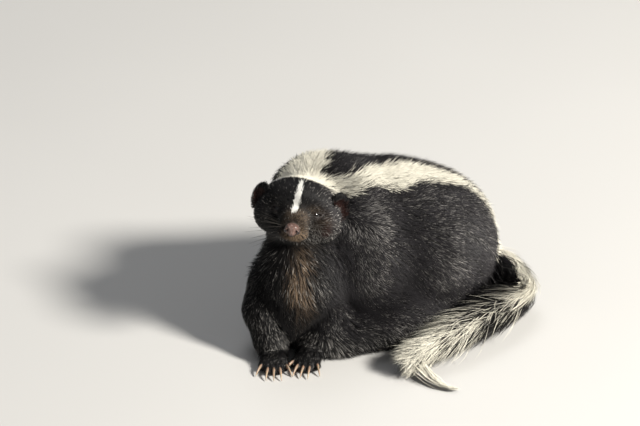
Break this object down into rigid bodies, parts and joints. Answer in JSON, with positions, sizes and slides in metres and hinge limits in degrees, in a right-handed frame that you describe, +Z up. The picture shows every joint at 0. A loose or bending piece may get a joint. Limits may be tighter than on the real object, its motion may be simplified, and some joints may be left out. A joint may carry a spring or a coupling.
{
  "type": "striped skunk",
  "caption": "Life-size striped skunk crouching on its forefeet, its head raised and its bushy tail laid round its left side.",
  "frame": {"origin": "middle of the whole animal's box, at floor level", "axes": "+Z up; the face and forefeet point along -Y; the back runs from the head towards the rump along +X"},
  "size_m": [0.2382, 0.196, 0.1457],
  "materials": {
    "black_fur": "soft dense hair with a faint sheen",
    "white_fur": "soft long hair, cream white",
    "nose_skin": "moist and finely pebbled",
    "eye": "wet and glossy",
    "claw": "smooth horn"
  },
  "bodies": {
    "root": {"head": "black_fur", "blaze": "white_fur", "nose": "nose_skin", "eye_left": "eye", "eye_right": "eye", "ear_left": "black_fur", "ear_right": "black_fur", "neck": "black_fur", "nape_patch": "white_fur", "stripe_left": "white_fur", "stripe_right": "white_fur", "torso": "black_fur", "foreleg_left": "black_fur", "foreleg_right": "black_fur", "hindleg_left": "black_fur", "hindleg_right": "black_fur", "tail_base": "white_fur", "tail_middle": "white_fur", "tail_end": "white_fur"}
  },
  "joints": []
}
